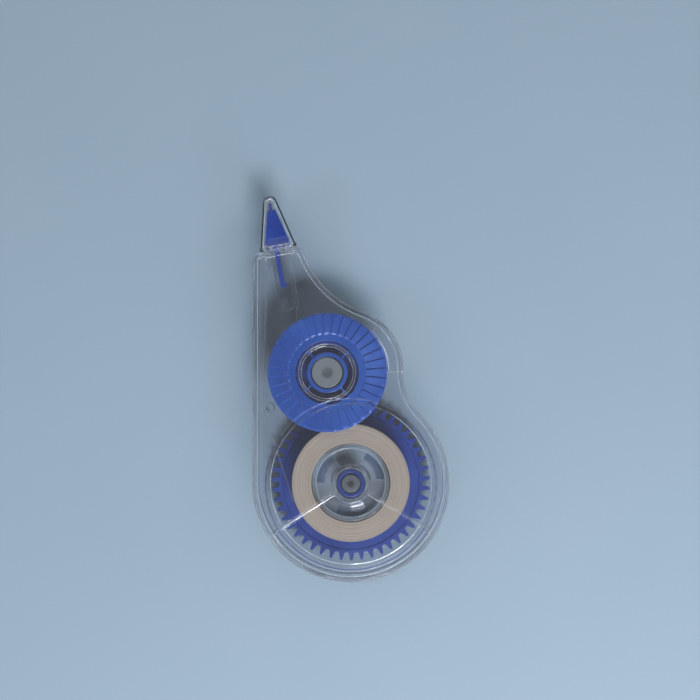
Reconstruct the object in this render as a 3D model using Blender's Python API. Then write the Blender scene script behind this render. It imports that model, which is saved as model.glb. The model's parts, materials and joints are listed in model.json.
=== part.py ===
"""Correction tape roller, built the way it comes apart on a bench.

The case lies on its back: +X is across it, +Y runs towards the tip and +Z rises from the
back face. The origin is on the supply reel's axis, at the back face. Sizes are in
millimetres and become metres when a mesh is made.
"""

import math

import bmesh
import bpy

MM = 0.001

# ---------------------------------------------------------------- driving dimensions, mm
gap = 0.3                      # air between neighbouring pieces
overlap = 0.2                  # how far fused shapes run into each other
beyond = 50.0                  # reach of a cutter that has to leave the case
arc_step = 6.0                 # degrees between the points of a large arc
ring_sides = 48                # sides of a large round
small_sides = 20               # sides of a pin or a post

# tape
tape_width = 5.0
film_thickness = 0.2
reel_room = 4.7                # between the tape roll and the film on the drum
core_radius = 9.4              # outside of the tape core
take_up_wound = 0.6            # film already wound on the drum

# gear pair
gear_module = 0.8
supply_teeth = 47
take_up_teeth = 22
gear_thickness = 2.0
tooth_addendum = 0.8
tooth_dedendum = 1.1
tooth_tip_width = 0.5
tooth_root_width = 1.5
take_up_bearing = 102.04       # degrees from +X, supply axis to take-up axis

# case
wall = 1.15
floor = 1.2
edge_chamfer = 0.4
gear_to_wall = 3.15            # room between the tooth tips and the inside of the wall
neck_radius = 15.0             # hollow of the waist
upper_radius = 14.6            # round of the case beside the take-up reel
upper_offset = (3.84, 1.08)    # its centre, from the take-up axis
flank_radius = 24.35           # hollow under the shoulder
corner_radius = 1.8
lap_height = 1.0               # overlap of the two half-walls at the parting line

# case front
plateau_radius = 20.84
plateau_rise = 0.8
plateau_chamfer = 0.5
step_depth = 0.35
lower_step = (212.0, 330.0)    # sector about the supply axis, degrees
upper_step = (0.0, 45.0)       # sector about the take-up axis, degrees
post_room = 0.5                # from the top of a post to the front plate

# nozzle
nozzle_tilt = 10.5             # degrees, towards the straight wall
nozzle_from_wall = 6.3
nozzle_above_take_up = 29.8
shoulder_width = 11.6

# reels
supply_post_radius = 2.2
bush_wall = 0.9
core_hub_wall = 0.9
core_rim_wall = 0.7
core_web = 0.8
core_web_drop = 1.2            # from the tape's lower edge to the web
core_hub_drop = 0.6            # from the tape's upper edge to the hub's top
core_foot_room = 0.1           # from the gear's lower face to the core's foot
bush_room = 1.0                # from the bush's top to the front plate
ramp_sectors = 3
ramp_span = 57.0               # degrees
ramp_first = 33.0              # middle of the first ramp
ramp_rise = 1.7
ramp_inner = 4.9
ramp_foot = 0.1
clutch_ring_width = 1.0
clutch_ring_height = 1.4
take_up_post_radius = 3.7
drum_radius = 7.6
drum_wall = 0.6
drum_rise = 0.1                # of the drum over the tape
tube_drop = 1.0                # of the bearing tube under the tape's upper edge
disc_radius = 14.56
disc_inner_radius = 7.7
disc_thickness = 1.0
disc_hub_wall = 0.95
spoke_width = 0.5
spoke_thickness = 0.5
spoke_angles = (45.0, 132.0, 219.0, 312.0)
rib_count = 36
rib_width = 0.3
rib_height = 0.3
rib_inner_radius = 9.3

# case fittings
supply_post_bore = 1.0
take_up_post_bore = 1.5
pin_play = 0.3
socket_radius = 1.2            # guide post and cradle socket
socket_bore = 0.65
guide_offset = (3.95, 18.3)    # from the straight wall, from the supply axis
guide_rib_height = 2.4
guide_rib_width = 0.6
ring_wall_radius = 7.0         # ring wall over the take-up well
ring_wall = 0.75
cradle_half_width = 2.5
cradle_wall = 0.9
cradle_centre = (-0.5, -12.4)  # in nozzle coordinates: across, along
cradle_left_top = -3.4
cradle_right_top = -6.3
cradle_socket = (-0.28, -12.83)

# head
flange_thickness = 0.6
flange_bottom = 1.7
flange_top = 10.0
flange_bottom_half = 3.1
flange_top_half = 1.0
nib_top = 11.6
nib_radius = 0.25
blade_half = 0.53
blade_lean = -0.6              # middle of the blade at the bottom of the flanges
blade_neck = 0.5               # from there up to the flanges
stem_bottom = -9.0
foot_play = 0.47                # between the foot and the cradle's arm
foot_height = 0.8

# cap
cap_length = 13.05
cap_wall = 0.63
cap_seat = 0.35                # from the shoulder to the cap's mouth
cap_base_half = 4.25
cap_top_half = 1.4
cap_depth_taper = 0.075        # loss of half depth for each mm along the cap
cap_bead = 0.35
cap_bead_height = 0.95
cap_corner = 1.3
cap_crown = 1.1                # height over which the top is rounded
tab_thickness = 0.5
tab_half_width = 2.6
tab_length = 3.0
window_left = -3.5
window_right = 3.0

# ---------------------------------------------------------------- worked-out positions, mm
mesh_distance = gear_module * (supply_teeth + take_up_teeth) / 2
supply_axis = (0.0, 0.0)
take_up_axis = (mesh_distance * math.cos(math.radians(take_up_bearing)),
                mesh_distance * math.sin(math.radians(take_up_bearing)))
gear_tip_radius = gear_module * supply_teeth / 2 + tooth_addendum
body_radius = gear_tip_radius + gear_to_wall + wall

gear_low = floor + 0.4
gear_high = gear_low + gear_thickness
tape_low = gear_high + 0.4
tape_high = tape_low + tape_width
tape_middle = (tape_low + tape_high) / 2
disc_low = tape_high + 0.4
disc_high = disc_low + disc_thickness
plate_inside = disc_high + rib_height + 0.7
plate_outside = plate_inside + floor
plateau_inside = plate_inside + plateau_rise
plateau_outside = plate_outside + plateau_rise
lap_low = tape_middle - lap_height / 2
lap_high = tape_middle + lap_height / 2
roll_radius = mesh_distance - (drum_radius + gap + take_up_wound) - reel_room
bush_inner = supply_post_radius + gap
bush_outer = bush_inner + bush_wall
core_hub_inner = bush_outer + gap
core_hub_outer = core_hub_inner + core_hub_wall
clutch_inner = core_radius + gap
clutch_outer = clutch_inner + clutch_ring_width
gear_bore = clutch_outer + gap
take_up_bore = take_up_post_radius + gap
film_stand_off = gap + film_thickness / 2
flange_reach = tape_width / 2 + gap + flange_thickness
tab_inner = flange_reach + gap
cap_tab_taper = cap_depth_taper * (tab_length - cap_seat - cap_bead_height)
cap_base_half_depth = tab_inner + tab_thickness + gap + cap_tab_taper + cap_wall
guide_post = (guide_offset[0] - body_radius, guide_offset[1])

tilt = math.radians(nozzle_tilt)
across = (math.cos(tilt), math.sin(tilt))
along = (-math.sin(tilt), math.cos(tilt))
nozzle = (nozzle_from_wall - body_radius, take_up_axis[1] + nozzle_above_take_up)


def from_nozzle(u, v):
    """World x, y of a point u across and v along the nozzle axis from the shoulder."""
    return (nozzle[0] + u * across[0] + v * along[0], nozzle[1] + u * across[1] + v * along[1])


# ---------------------------------------------------------------- plane geometry
def angle_to(start, end):
    """Direction from one point to another, degrees."""
    return math.degrees(math.atan2(end[1] - start[1], end[0] - start[0]))


def on_circle(centre, radius, angle):
    """The point of a circle at an angle in degrees."""
    return (centre[0] + radius * math.cos(math.radians(angle)),
            centre[1] + radius * math.sin(math.radians(angle)))


def arc(centre, radius, start, end, step=arc_step):
    """Points along an arc, both ends included; it runs clockwise when end is below start."""
    count = max(2, round(abs(end - start) / step) + 1)
    return [on_circle(centre, radius, start + (end - start) * i / (count - 1))
            for i in range(count)]


def circles_meet(first, first_radius, second, second_radius, side):
    """Where two circles cross, on the left (+1) or right (-1) of the line between centres."""
    distance = math.dist(first, second)
    reach = (first_radius ** 2 - second_radius ** 2 + distance ** 2) / (2 * distance)
    height = math.sqrt(first_radius ** 2 - reach ** 2)
    ux = (second[0] - first[0]) / distance
    uy = (second[1] - first[1]) / distance
    return (first[0] + ux * reach - uy * height * side, first[1] + uy * reach + ux * height * side)


def case_arcs():
    """The case's outline as tangent arcs: centre, radius, start, end, +1 round or -1 hollow."""
    upper = (take_up_axis[0] + upper_offset[0], take_up_axis[1] + upper_offset[1])
    neck = circles_meet(supply_axis, body_radius + neck_radius,
                        upper, upper_radius + neck_radius, -1)
    right = from_nozzle(shoulder_width / 2 - corner_radius, -corner_radius)
    left_x = corner_radius - body_radius
    slide = (left_x - right[0]) / across[0]
    left = (left_x, right[1] + slide * across[1])
    flank = circles_meet(upper, upper_radius + flank_radius,
                         right, flank_radius + corner_radius, -1)
    shoulder = 90.0 + nozzle_tilt
    return [
        (supply_axis, body_radius, 180.0, 360.0 + angle_to(supply_axis, neck), 1),
        (neck, neck_radius, 180.0 + angle_to(supply_axis, neck), angle_to(neck, upper), -1),
        (upper, upper_radius, angle_to(neck, upper) - 180.0, angle_to(upper, flank), 1),
        (flank, flank_radius, 180.0 + angle_to(upper, flank), 360.0 + angle_to(flank, right), -1),
        (right, corner_radius, angle_to(right, flank), shoulder, 1),
        (left, corner_radius, shoulder, 180.0, 1),
    ]


def case_outline(inset):
    """The case's outline, moved inwards by inset. It has as many points at any inset."""
    points = []
    for centre, radius, start, end, sense in case_arcs():
        step = arc_step if radius > corner_radius else 3 * arc_step
        points += arc(centre, radius - sense * inset, start, end, step)
    return points


def tangent(first, first_radius, first_side, second, second_radius, second_side):
    """Ends of the straight run of a belt from one circle to the next.

    A side of +1 means that the belt passes with the circle on its right, -1 on its left.
    """
    distance = math.dist(first, second)
    heading = angle_to(first, second)
    lean = math.degrees(math.asin((first_side * first_radius - second_side * second_radius)
                                  / distance))
    return (on_circle(first, first_radius, heading - lean + 90.0 * first_side),
            on_circle(second, second_radius, heading - lean + 90.0 * second_side))


def belt_path(circles):
    """Centre line of a belt that goes round circles (centre, radius, side) in order."""
    points = []
    arrive = None
    for i in range(len(circles) - 1):
        leave, reach = tangent(*circles[i], *circles[i + 1])
        centre, radius, side = circles[i]
        if arrive is not None:
            start = angle_to(centre, arrive)
            end = angle_to(centre, leave)
            turn = (side * (start - end)) % 360.0
            points += arc(centre, radius, start, start - side * turn, 15.0)
        else:
            points.append(leave)
        arrive = reach
    points.append(arrive)
    return points


def gear_outline(teeth, phase):
    """Points of a spur gear with straight-sided teeth, one tooth centred on phase (degrees)."""
    pitch_radius = gear_module * teeth / 2
    tip = pitch_radius + tooth_addendum
    root = pitch_radius - tooth_dedendum
    half_tip = math.degrees(tooth_tip_width / 2 / tip)
    half_root = math.degrees(tooth_root_width / 2 / root)
    points = []
    for tooth in range(teeth):
        middle = phase + 360.0 * tooth / teeth
        points.append(on_circle((0, 0), root, middle - half_root))
        points.append(on_circle((0, 0), tip, middle - half_tip))
        points.append(on_circle((0, 0), tip, middle + half_tip))
        points.append(on_circle((0, 0), root, middle + half_root))
    return points


# ---------------------------------------------------------------- solids
def lift(points, z):
    """A flat outline as 3-D points at height z."""
    return [(x, y, z) for x, y in points]


def loft(name, loops, closed=False):
    """One closed body through loops of equal length; a closed one joins its last to its first.

    Every point is in millimetres, from the body's own origin.
    """
    mesh = bpy.data.meshes.new(name)
    shape = bmesh.new()
    rings = [[shape.verts.new((x * MM, y * MM, z * MM)) for x, y, z in loop] for loop in loops]
    pairs = list(zip(rings, rings[1:]))
    if closed:
        pairs.append((rings[-1], rings[0]))
    else:
        shape.faces.new(rings[0])
        shape.faces.new(rings[-1])
    for low, high in pairs:
        for i in range(len(low)):
            j = (i + 1) % len(low)
            shape.faces.new((low[i], low[j], high[j], high[i]))
    bmesh.ops.recalc_face_normals(shape, faces=shape.faces)
    shape.to_mesh(mesh)
    shape.free()
    body = bpy.data.objects.new(name, mesh)
    bpy.context.scene.collection.objects.link(body)
    return body


def prism(name, points, low, high):
    """A flat outline pulled up from z = low to z = high."""
    return loft(name, [lift(points, low), lift(points, high)])


def turned(name, profile, sides=ring_sides, centre=(0.0, 0.0), closed=True):
    """A turned body: profile is (radius, z) points, joined end to end when it is a ring."""
    loops = [lift([on_circle(centre, radius, 360.0 * i / sides) for i in range(sides)], z)
             for radius, z in profile]
    return loft(name, loops, closed)


def ring(name, inner, outer, low, high, sides=ring_sides, centre=(0.0, 0.0)):
    """A plain tube."""
    profile = [(outer, low), (outer, high), (inner, high), (inner, low)]
    return turned(name, profile, sides, centre)


def rod(name, radius, low, high, sides=small_sides, centre=(0.0, 0.0)):
    """A plain cylinder."""
    return turned(name, [(radius, low), (radius, high)], sides, centre, closed=False)


def sector(name, centre, inner, outer, start, end, low, high):
    """A flat slice of a ring."""
    points = arc(centre, outer, start, end) + arc(centre, inner, end, start)
    return prism(name, points, low, high)


def nozzle_box(name, left, right, bottom, top, low, high):
    """A box square to the nozzle axis."""
    corners = [from_nozzle(left, bottom), from_nozzle(right, bottom),
               from_nozzle(right, top), from_nozzle(left, top)]
    return prism(name, corners, low, high)


def combine(body, tool, operation):
    """Add a tool to a body (UNION) or take it away (DIFFERENCE). The tool itself is hidden."""
    tool.name = body.name + "_tool_" + tool.name
    tool.display_type = "WIRE"
    tool.hide_render = True
    boolean = body.modifiers.new(tool.name, "BOOLEAN")
    boolean.operation = operation
    boolean.solver = "EXACT"
    boolean.object = tool


def add(body, *tools):
    """Fuse tools to a body."""
    for tool in tools:
        combine(body, tool, "UNION")


def cut(body, *tools):
    """Cut tools out of a body."""
    for tool in tools:
        combine(body, tool, "DIFFERENCE")


def place(body, axis):
    """Put a body, and the tools that shape it, at the axis that its mesh is about."""
    body.location = (axis[0] * MM, axis[1] * MM, 0.0)
    for modifier in body.modifiers:
        place(modifier.object, axis)


def finish(body, material):
    """Give a body its material and shade its rounds smooth."""
    body.data.materials.append(material)
    body.data.shade_smooth()
    body.data.set_sharp_from_angle(angle=math.radians(30.0))


def plastic(name, colour, roughness, alpha=1.0):
    """A Principled material."""
    material = bpy.data.materials.new(name)
    material.use_nodes = True
    shader = material.node_tree.nodes["Principled BSDF"]
    shader.inputs["Base Color"].default_value = (*colour, 1.0)
    shader.inputs["Roughness"].default_value = roughness
    shader.inputs["Metallic"].default_value = 0.0
    shader.inputs["Alpha"].default_value = alpha
    return material


# ---------------------------------------------------------------- case
def add_socket(shell, name, centre, outer, bore, top):
    """A hollow post of the rear shell, standing on its floor."""
    tube = ring(name, bore, outer, floor - gap, top, small_sides, centre)
    add(shell, tube)


def make_rear_shell():
    """Rear half of the case, with everything that stands on its floor."""
    half = (wall - gap) / 2
    profile = [(edge_chamfer, 0.0), (0.0, edge_chamfer), (0.0, lap_high), (half, lap_high),
               (half, lap_low), (wall, lap_low), (wall, floor)]
    shell = loft("rear_shell", [lift(case_outline(inset), z) for inset, z in profile])
    top = plate_inside - post_room
    add_socket(shell, "supply_post", supply_axis, supply_post_radius, supply_post_bore, top)
    add_socket(shell, "take_up_post", take_up_axis, take_up_post_radius, take_up_post_bore, top)
    add_socket(shell, "guide_post", guide_post, socket_radius, socket_bore, top)
    left = -body_radius + wall / 2
    right = guide_post[0] - socket_radius + overlap
    bottom = guide_post[1] - guide_rib_width / 2
    rise = bottom + guide_rib_width
    rib = prism("guide_rib", [(left, bottom), (right, bottom), (right, rise), (left, rise)],
                floor - gap, floor + guide_rib_height)
    add(shell, rib, make_cradle(top))
    add_socket(shell, "cradle_socket", from_nozzle(*cradle_socket), socket_radius, socket_bore, top)
    low = tape_middle - tab_inner
    cut(shell, nozzle_box("window", window_left, window_right, -2 * wall, wall,
                          low + gap, plate_outside))
    add(shell, nozzle_box("tab", -tab_half_width, tab_half_width, -wall / 2, tab_length,
                          low - tab_thickness, low))
    return shell


def make_cradle(top):
    """The U-shaped wall that the head's stem drops into."""
    half = cradle_half_width
    inner = cradle_half_width - cradle_wall
    u, v = cradle_centre
    end = cradle_wall / 2
    outline = [(u - half, cradle_left_top)]
    outline += arc((u, v), half, 180.0, 360.0, 15.0)
    outline += arc((u + half - end, cradle_right_top), end, 0.0, 180.0, 30.0)
    outline += arc((u, v), inner, 360.0, 180.0, 15.0)
    outline += arc((u - half + end, cradle_left_top), end, 0.0, 180.0, 30.0)[:-1]
    return prism("cradle", [from_nozzle(*point) for point in outline], floor - gap, top)


def make_front_shell():
    """Front half of the case, with its plateau, its stepped sectors and its pins."""
    half = (wall - gap) / 2
    profile = [(edge_chamfer, plate_outside), (0.0, plate_outside - edge_chamfer),
               (0.0, lap_high + gap), (wall - half, lap_high + gap), (wall - half, lap_low + gap),
               (wall, lap_low + gap), (wall, plate_inside)]
    shell = loft("front_shell", [lift(case_outline(inset), z) for inset, z in profile])
    rise = [(plateau_radius, plate_inside + floor / 2),
            (plateau_radius, plateau_outside - plateau_chamfer),
            (plateau_radius - plateau_chamfer, plateau_outside)]
    add(shell, turned("plateau", rise, closed=False))
    cut(shell, rod("recess", plateau_radius - floor, plate_inside - gap, plateau_inside, ring_sides))
    hub_edge = core_hub_outer + gap
    above = plateau_outside + wall
    cut(shell, sector("lower_step", supply_axis, hub_edge, beyond, *lower_step,
                      plateau_outside - step_depth, above))
    cut(shell, sector("lower_edge", supply_axis, plateau_radius + gap / 2, beyond, *lower_step,
                      plate_outside - step_depth, above))
    cut(shell, sector("upper_step", take_up_axis, disc_radius + gap / 2, body_radius, *upper_step,
                      plate_outside - step_depth, above))
    add_pin(shell, "supply", supply_axis, supply_post_bore, plateau_inside)
    add_pin(shell, "take_up", take_up_axis, take_up_post_bore, plate_inside)
    add_pin(shell, "guide", guide_post, socket_bore, plate_inside)
    add_pin(shell, "cradle", from_nozzle(*cradle_socket), socket_bore, plate_inside)
    add(shell, ring("supply_ring_wall", core_hub_inner, core_hub_inner + ring_wall,
                    tape_high + gap, plateau_inside + floor / 2))
    add(shell, ring("take_up_ring_wall", ring_wall_radius - ring_wall, ring_wall_radius,
                    disc_low + spoke_thickness + gap, plate_inside + floor / 2,
                    centre=take_up_axis))
    high = tape_middle + tab_inner
    cut(shell, nozzle_box("window", window_left, window_right, -2 * wall, wall, 0.0, high - gap))
    add(shell, nozzle_box("tab", -tab_half_width, tab_half_width, -wall / 2, tab_length,
                          high, high + tab_thickness))
    return shell


def add_pin(shell, name, centre, bore, ceiling):
    """A pin of the front shell that reaches down into a rear post."""
    add(shell, rod(name + "_pin", bore - pin_play, tape_middle, ceiling + floor / 2,
                   centre=centre))


# ---------------------------------------------------------------- supply reel
def make_supply_gear():
    """Toothed ring behind the tape roll."""
    outline = gear_outline(supply_teeth, take_up_bearing)
    bore = [on_circle((0, 0), gear_bore, angle_to((0, 0), point)) for point in outline]
    return loft("supply_gear", [lift(outline, gear_low), lift(outline, gear_high),
                                lift(bore, gear_high), lift(bore, gear_low)], closed=True)


def make_clutch_ring():
    """Friction ring between the core's rim and the gear's bore."""
    middle = (gear_low + gear_high) / 2
    edge = clutch_ring_width / 4
    low = middle - clutch_ring_height / 2
    high = middle + clutch_ring_height / 2
    profile = [(clutch_inner, low + edge), (clutch_inner + edge, low), (clutch_outer - edge, low),
               (clutch_outer, low + edge), (clutch_outer, high - edge), (clutch_outer - edge, high),
               (clutch_inner + edge, high), (clutch_inner, high - edge)]
    return turned("clutch_ring", profile)


def make_supply_core():
    """Clear tape core: a rim and a hub joined by a web that carries three ramps."""
    web_low = tape_low + core_web_drop
    web_high = web_low + core_web
    rim_inner = core_radius - core_rim_wall
    low = gear_low + core_foot_room
    hub_top = tape_high - core_hub_drop
    profile = [(core_radius, low), (core_radius, tape_high), (rim_inner, tape_high),
               (rim_inner, web_high), (core_hub_outer, web_high), (core_hub_outer, hub_top),
               (core_hub_inner, hub_top), (core_hub_inner, low), (core_hub_outer, low),
               (core_hub_outer, web_low), (rim_inner, web_low), (rim_inner, low)]
    core = turned("supply_core", profile)
    for i in range(ramp_sectors):
        middle = ramp_first + 360.0 * i / ramp_sectors
        ramp = ramp_wedge("ramp_%d" % i, middle, rim_inner + core_rim_wall / 2, web_low + overlap, web_high)
        add(core, ramp)
    return core


def ramp_wedge(name, middle, outer, low, web_high):
    """A slice of a cone that falls from the hub towards the rim."""
    count = 8
    section = [(ramp_inner, low), (outer, low), (outer, web_high + ramp_foot),
               (ramp_inner, web_high + ramp_rise)]
    loops = []
    for i in range(count + 1):
        angle = middle - ramp_span / 2 + ramp_span * i / count
        loops.append([(*on_circle((0, 0), radius, angle), z) for radius, z in section])
    return loft(name, loops)


def make_core_bush():
    """Small blue bearing ring between the post and the core."""
    return ring("core_bush", bush_inner, bush_outer, gear_low, plate_inside - bush_room)


def make_tape_roll():
    """The wound tape."""
    return ring("tape_roll", core_radius + gap, roll_radius, tape_low, tape_high)


# ---------------------------------------------------------------- take-up reel
def make_take_up_gear():
    """Pinion, bearing tube and winding drum in one moulding."""
    phase = take_up_bearing + 180.0 + 180.0 / take_up_teeth
    outline = gear_outline(take_up_teeth, phase)
    bore = [on_circle((0, 0), take_up_bore, angle_to((0, 0), point)) for point in outline]
    gear = loft("take_up_gear", [lift(outline, gear_low), lift(outline, gear_high),
                                 lift(bore, gear_high), lift(bore, gear_low)], closed=True)
    tube_outer = take_up_bore + disc_hub_wall
    base = gear_high + gap
    top = tape_high + drum_rise
    inner = drum_radius - drum_wall
    cup = [(tube_outer - overlap, base), (drum_radius, base), (drum_radius, top), (inner, top),
           (inner, base + drum_wall), (tube_outer - overlap, base + drum_wall)]
    add(gear, ring("tube", take_up_bore, tube_outer, gear_high - overlap, tape_high - tube_drop),
        turned("drum", cup))
    return gear


def make_take_up_disc():
    """Ribbed flange with four thin spokes and a hub ring."""
    disc = ring("take_up_disc", disc_inner_radius, disc_radius, disc_low, disc_high, 72)
    hub_outer = take_up_bore + disc_hub_wall
    add(disc, make_spider(hub_outer), make_ribs())
    return disc


def make_spider(hub_outer):
    """Hub ring and spokes as one piece."""
    spider = ring("spider", take_up_bore, hub_outer, disc_low, disc_high)
    for i, angle in enumerate(spoke_angles):
        add(spider, radial_bar("spoke_%d" % i, angle, hub_outer - overlap, disc_inner_radius + overlap,
                               spoke_width, disc_low, disc_low + spoke_thickness))
    return spider


def radial_corners(angle, inner, outer, width):
    """Corners of a bar that points away from the axis."""
    cos = math.cos(math.radians(angle))
    sin = math.sin(math.radians(angle))
    half = width / 2
    return [(r * cos - s * sin, r * sin + s * cos)
            for r, s in ((inner, -half), (outer, -half), (outer, half), (inner, half))]


def radial_bar(name, angle, inner, outer, width, low, high):
    """A straight bar that points away from the axis."""
    return prism(name, radial_corners(angle, inner, outer, width), low, high)


def make_ribs():
    """All the flange's ribs in one tool mesh, sunk a little into its face."""
    mesh = bpy.data.meshes.new("ribs")
    shape = bmesh.new()
    for i in range(rib_count):
        angle = 360.0 * (i + 0.5) / rib_count
        corners = radial_corners(angle, rib_inner_radius, disc_radius - overlap, rib_width)
        low = [shape.verts.new((x * MM, y * MM, (disc_high - overlap) * MM)) for x, y in corners]
        high = [shape.verts.new((x * MM, y * MM, (disc_high + rib_height) * MM)) for x, y in corners]
        shape.faces.new(reversed(low))
        shape.faces.new(high)
        for j in range(4):
            k = (j + 1) % 4
            shape.faces.new((low[j], low[k], high[k], high[j]))
    shape.to_mesh(mesh)
    shape.free()
    ribs = bpy.data.objects.new("ribs", mesh)
    bpy.context.scene.collection.objects.link(ribs)
    return ribs


def make_take_up_film():
    """The first turns of used film."""
    inner = drum_radius + gap
    return ring("take_up_film", inner, inner + take_up_wound, tape_low, tape_high)


def make_film_run():
    """The film from the roll, round the guide post, over the nib and down to the drum."""
    arm = cradle_wall / 2
    u, v = cradle_centre
    right_end = from_nozzle(u + cradle_half_width - arm, cradle_right_top)
    wound = drum_radius + gap + take_up_wound
    path = belt_path([
        (supply_axis, roll_radius + film_stand_off, 1),
        (guide_post, socket_radius + film_stand_off, 1),
        (from_nozzle(0.0, nib_top - nib_radius), nib_radius + film_stand_off, 1),
        (right_end, arm + film_stand_off, 1),
        (from_nozzle(u, v), cradle_half_width + film_stand_off, 1),
        (take_up_axis, wound + film_stand_off, -1),
    ])
    return prism("film_run", ribbon(path, film_thickness), tape_low, tape_high)


def ribbon(path, thickness):
    """Outline of a strip of constant thickness about a centre line."""
    left = []
    right = []
    for i, point in enumerate(path):
        before = path[max(i - 1, 0)]
        after = path[min(i + 1, len(path) - 1)]
        length = math.dist(before, after)
        nx = -(after[1] - before[1]) / length * thickness / 2
        ny = (after[0] - before[0]) / length * thickness / 2
        left.append((point[0] + nx, point[1] + ny))
        right.append((point[0] - nx, point[1] - ny))
    return left + right[::-1]


# ---------------------------------------------------------------- tip
def make_tip_head():
    """Applicator: a wedge blade with a nib, two side flanges, a stem and a hooked foot."""
    neck = flange_bottom - blade_neck
    foot_end = cradle_centre[0] + cradle_half_width - cradle_wall - foot_play
    blade = [(blade_lean - blade_half, stem_bottom),
             (foot_end, stem_bottom),
             (foot_end, stem_bottom + foot_height),
             (blade_lean + blade_half, stem_bottom + foot_height),
             (blade_lean + blade_half, neck)]
    blade += arc((0.0, nib_top - nib_radius), nib_radius, 0.0, 180.0, 30.0)
    blade += [(blade_lean - blade_half, neck)]
    low = tape_middle - flange_reach
    high = tape_middle + flange_reach
    sunk = flange_thickness / 2
    head = prism("tip_head", [from_nozzle(*point) for point in blade], low + sunk, high - sunk)
    flange = [(-flange_bottom_half, flange_bottom), (flange_bottom_half, flange_bottom),
              (flange_top_half, flange_top), (-flange_top_half, flange_top)]
    outline = [from_nozzle(*point) for point in flange]
    add(head, prism("rear_flange", outline, low, low + flange_thickness))
    add(head, prism("front_flange", outline, high - flange_thickness, high))
    return head


def cap_loop(half_width, half_depth, corner, v):
    """A rounded rectangle square to the nozzle axis, v along it, from the nozzle's own origin."""
    corner = min(corner, 0.9 * half_width, 0.9 * half_depth)
    points = []
    for start, su, sz in ((0.0, 1, 1), (90.0, -1, 1), (180.0, -1, -1), (270.0, 1, -1)):
        middle = (su * (half_width - corner), sz * (half_depth - corner))
        points += arc(middle, corner, start, start + 90.0, 18.0)
    return [(u * across[0] + v * along[0], u * across[1] + v * along[1], tape_middle + z)
            for u, z in points]


def make_tip_cap():
    """Pull-off cap: a tapered cup with a bead round its mouth and a rounded crown."""
    top = cap_seat + cap_length
    bead_top = cap_seat + cap_bead_height
    slope = (cap_base_half - cap_top_half) / (top - bead_top)

    def size(v, inset):
        rise = v - bead_top
        return (cap_base_half - slope * rise - inset,
                cap_base_half_depth - cap_depth_taper * rise - inset)

    def crown(peak, inset):
        rows = []
        for turn in (0.0, 30.0, 60.0, 80.0):
            v = peak - cap_crown * (1 - math.sin(math.radians(turn)))
            shrink = 0.75 * cap_crown * (1 - math.cos(math.radians(turn)))
            half_width, half_depth = size(v, inset + shrink)
            rows.append(cap_loop(half_width, half_depth, cap_corner - inset, v))
        return rows

    inside = crown(top - cap_wall, cap_wall)[::-1]
    mouth = [cap_loop(*size(bead_top, cap_wall), cap_corner - cap_wall, bead_top),
             cap_loop(*size(bead_top, cap_wall), cap_corner - cap_wall, cap_seat)]
    bead = [cap_loop(*size(bead_top, -cap_bead), cap_corner + cap_bead, cap_seat),
            cap_loop(*size(bead_top, -cap_bead), cap_corner + cap_bead, bead_top),
            cap_loop(*size(bead_top, 0.0), cap_corner, bead_top)]
    return loft("tip_cap", inside + mouth + bead + crown(top, 0.0))


# ---------------------------------------------------------------- assembly
def main():
    for item in list(bpy.data.objects):
        bpy.data.objects.remove(item)

    clear = plastic("clear_plastic", (0.80, 0.86, 0.93), 0.08, 0.3)
    clear_core = plastic("clear_core_plastic", (0.72, 0.80, 0.90), 0.1, 0.45)
    blue = plastic("blue_plastic", (0.03, 0.10, 0.52), 0.35)
    reel_blue = plastic("reel_blue_plastic", (0.07, 0.20, 0.62), 0.35)
    cream = plastic("cream_tape", (0.72, 0.62, 0.50), 0.5)
    silicone = plastic("grey_silicone", (0.55, 0.57, 0.60), 0.6)
    film = plastic("film", (0.80, 0.80, 0.78), 0.2, 0.4)

    finish(make_rear_shell(), clear)
    finish(make_front_shell(), clear)
    finish(make_tip_head(), blue)
    finish(make_film_run(), film)

    cap = make_tip_cap()
    place(cap, nozzle)
    finish(cap, clear)

    for body, material in ((make_supply_gear(), blue), (make_clutch_ring(), silicone),
                           (make_supply_core(), clear_core), (make_core_bush(), blue),
                           (make_tape_roll(), cream)):
        place(body, supply_axis)
        finish(body, material)

    for body, material in ((make_take_up_gear(), blue), (make_take_up_disc(), reel_blue),
                           (make_take_up_film(), film)):
        place(body, take_up_axis)
        finish(body, material)


main()
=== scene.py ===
# %% [markdown]
# # Correction tape roller
# A clear case holds two reels. The big blue gear carries the fresh tape roll, and the ribbed
# blue reel winds the used film. This lesson makes each surface from a formula, around the
# working model that the frame holds, and then gives each plastic its own finish.

# %% The working model
import json
import math

import bpy
import numpy as np
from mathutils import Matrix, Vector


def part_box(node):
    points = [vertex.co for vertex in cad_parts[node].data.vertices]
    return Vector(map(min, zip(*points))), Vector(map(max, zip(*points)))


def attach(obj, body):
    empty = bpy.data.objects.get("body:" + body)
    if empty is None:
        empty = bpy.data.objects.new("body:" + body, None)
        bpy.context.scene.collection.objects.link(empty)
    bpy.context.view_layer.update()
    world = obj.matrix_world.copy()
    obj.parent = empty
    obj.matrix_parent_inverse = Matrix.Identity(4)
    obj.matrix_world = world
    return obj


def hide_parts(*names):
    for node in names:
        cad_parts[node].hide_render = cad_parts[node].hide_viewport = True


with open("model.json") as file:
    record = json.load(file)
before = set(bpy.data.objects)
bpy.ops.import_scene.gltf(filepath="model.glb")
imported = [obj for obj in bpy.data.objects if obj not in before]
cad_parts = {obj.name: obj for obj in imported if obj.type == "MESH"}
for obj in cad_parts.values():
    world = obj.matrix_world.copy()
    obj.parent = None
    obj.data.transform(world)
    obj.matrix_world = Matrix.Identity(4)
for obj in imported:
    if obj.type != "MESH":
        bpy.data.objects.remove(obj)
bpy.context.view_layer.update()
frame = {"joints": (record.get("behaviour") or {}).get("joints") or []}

MM = 0.001

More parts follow.
